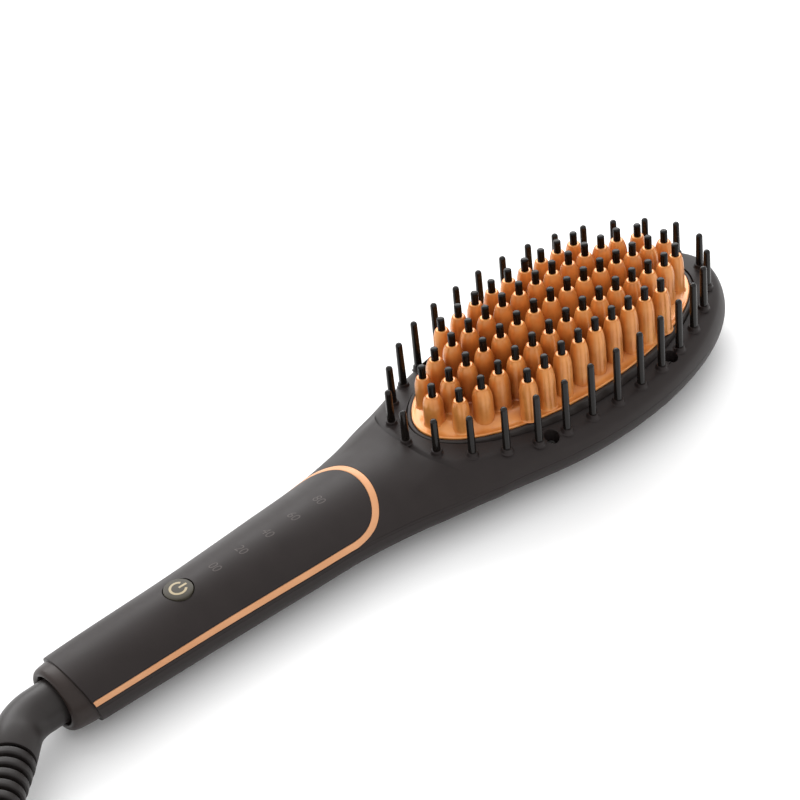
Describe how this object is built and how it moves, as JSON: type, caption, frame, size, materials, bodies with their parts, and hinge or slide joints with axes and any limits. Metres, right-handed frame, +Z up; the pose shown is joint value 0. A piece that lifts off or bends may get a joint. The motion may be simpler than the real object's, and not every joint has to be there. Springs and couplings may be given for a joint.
{
  "type": "heated styling brush",
  "caption": "Heated hair styling brush: an oval head with copper-coloured heating teeth and black guard pins, a rounded handle with a power button and a swivelling mains cord.",
  "frame": {"origin": "middle of the flat pad on the back of the head, where the brush lies on a table", "axes": "+X from the handle to the head, +Y across the head to its left, +Z up, the way the teeth point"},
  "size_m": [0.342, 0.2263, 0.0468],
  "materials": {
    "soft_touch_black": "soft-touch coat",
    "panel_black": "soft-touch coat with printed marks",
    "copper_trim": "copper coloured metallised plastic",
    "copper_plate": "satin copper coloured ceramic coat",
    "gloss_black": "polished nylon",
    "frame_grey": "heat resistant moulding",
    "swivel_black": "fine satin",
    "cord_rubber": "matte sheath",
    "circuit_green": "solder mask",
    "component_grey": "moulded",
    "clear_acrylic": "clear light guide",
    "lamp_white": "lamp case",
    "steel": "zinc plated",
    "heater_aluminium": "extruded",
    "mica": "pressed mica",
    "brass": "turned",
    "wire_red": "silicone",
    "tie_black": "hook and loop strap",
    "pin_metal": "nickel plated"
  },
  "bodies": {
    "brush": {"front_shell": "soft_touch_black", "rear_shell": "soft_touch_black", "handle_panel": "panel_black", "trim_strip": "copper_trim", "tact_switch": "component_grey", "control_board": "circuit_green", "status_leds": "lamp_white", "light_guides": "clear_acrylic", "power_triac": "component_grey", "film_capacitor": "component_grey", "board_screws": "steel", "case_screws": "steel", "heating_plate": "copper_plate", "heating_teeth": "copper_plate", "bristle_tips": "gloss_black", "plate_frame": "frame_grey", "guard_pins": "gloss_black", "ptc_heaters": "heater_aluminium", "mica_sheet": "mica", "heater_clamp": "steel", "heater_screws": "steel", "temperature_sensor": "steel", "thermal_fuse": "brass", "end_collar": "swivel_black", "contact_springs": "brass", "contact_carrier": "component_grey", "heater_wires": "wire_red", "mains_wires": "wire_red", "cord_lead": "cord_rubber", "cord_coil": "cord_rubber", "cord_tail": "cord_rubber", "cord_tie": "tie_black", "plug_body": "cord_rubber", "plug_pins": "pin_metal"},
    "button": {"power_button": "panel_black", "switch_plunger": "component_grey"},
    "swivel": {"swivel_elbow": "swivel_black", "swivel_retainer": "steel", "contact_rings": "brass", "strain_relief": "cord_rubber"}
  },
  "joints": [
    {"name": "power_button_press", "type": "slide", "parent": "brush", "child": "button", "axis": [0, 0, -1], "range_m": [0, 0.0006], "stiffness_N_per_m": 1500, "springref_m": -0.0004},
    {"name": "cord_swivel", "type": "hinge", "parent": "brush", "child": "swivel", "pos_m": [-0.195, 0, 0.0116], "axis": [-1, 0, 0], "continuous": true, "deforming": ["cord_lead"]}
  ]
}
